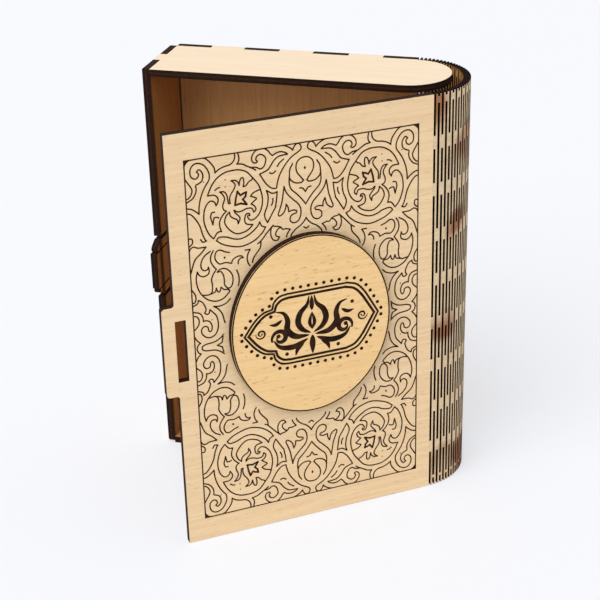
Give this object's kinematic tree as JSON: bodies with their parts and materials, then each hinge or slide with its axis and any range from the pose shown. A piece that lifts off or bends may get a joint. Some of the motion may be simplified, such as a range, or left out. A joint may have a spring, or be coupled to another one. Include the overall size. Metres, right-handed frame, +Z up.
{
  "type": "wooden book box",
  "caption": "Book-shaped plywood gift box with a slit living-hinge spine, an engraved front cover with a raised oval medallion, a finger tab and a snap latch, standing half open.",
  "frame": {"origin": "centre of the underside of the bottom plate, where the box stands", "axes": "+Z up along the book height, +X from the fore-edge towards the spine, +Y towards the back cover; the front cover opens on the -Y side"},
  "size_m": [0.1578, 0.1352, 0.21],
  "materials": {
    "plates_plywood": "bare sanded birch plywood with laser-browned cut edges",
    "cover_plywood": "bare sanded birch plywood with laser-browned cut edges",
    "spine_plywood": "bare sanded birch plywood with laser-browned cut edges",
    "medallion_plywood": "bare sanded birch plywood with laser-browned cut edges"
  },
  "bodies": {
    "tray": {"bottom_plate": "plates_plywood", "top_plate": "plates_plywood", "fore_edge_wall": "cover_plywood", "back_cover": "cover_plywood"},
    "latch_prong_upper": {"latch_prong_upper": "cover_plywood"},
    "latch_prong_lower": {"latch_prong_lower": "cover_plywood"},
    "hinge_strip_1": {"hinge_strip_1": "spine_plywood"},
    "hinge_strip_2": {"hinge_strip_2": "spine_plywood"},
    "hinge_strip_3": {"hinge_strip_3": "spine_plywood"},
    "hinge_strip_4": {"hinge_strip_4": "spine_plywood"},
    "front_cover": {"front_cover": "cover_plywood", "medallion": "medallion_plywood"}
  },
  "joints": [
    {"name": "spine_fold_1", "type": "hinge", "parent": "tray", "child": "hinge_strip_1", "pos_m": [0.05375, 0.0205, 0.105], "axis": [0, 0, 1], "range_deg": [-4.62, 17.88]},
    {"name": "spine_fold_2", "type": "hinge", "parent": "hinge_strip_1", "child": "hinge_strip_2", "pos_m": [0.07015, 0.01521, 0.105], "axis": [0, 0, 1], "range_deg": [-9.25, 35.75]},
    {"name": "spine_fold_3", "type": "hinge", "parent": "hinge_strip_2", "child": "hinge_strip_3", "pos_m": [0.08037, 0.00134, 0.105], "axis": [0, 0, 1], "range_deg": [-9.25, 35.75]},
    {"name": "spine_fold_4", "type": "hinge", "parent": "hinge_strip_3", "child": "hinge_strip_4", "pos_m": [0.08056, -0.01589, 0.105], "axis": [0, 0, 1], "range_deg": [-9.25, 35.75]},
    {"name": "spine_fold_5", "type": "hinge", "parent": "hinge_strip_4", "child": "front_cover", "pos_m": [0.07064, -0.02999, 0.105], "axis": [0, 0, 1], "range_deg": [-4.62, 17.88]},
    {"name": "prong_upper_flex", "type": "hinge", "parent": "tray", "child": "latch_prong_upper", "pos_m": [-0.07245, -0.0086, 0.1177], "axis": [1, 0, 0], "range_deg": [0, 2], "stiffness_Nm_per_rad": 0.2},
    {"name": "prong_lower_flex", "type": "hinge", "parent": "tray", "child": "latch_prong_lower", "pos_m": [-0.07245, -0.0086, 0.0923], "axis": [1, 0, 0], "range_deg": [-2, 0], "stiffness_Nm_per_rad": 0.2}
  ],
  "couplings": [
    {"joint": "spine_fold_2", "follows": "spine_fold_1", "ratio": 2},
    {"joint": "spine_fold_3", "follows": "spine_fold_1", "ratio": 2},
    {"joint": "spine_fold_4", "follows": "spine_fold_1", "ratio": 2},
    {"joint": "spine_fold_5", "follows": "spine_fold_1", "ratio": 1}
  ]
}
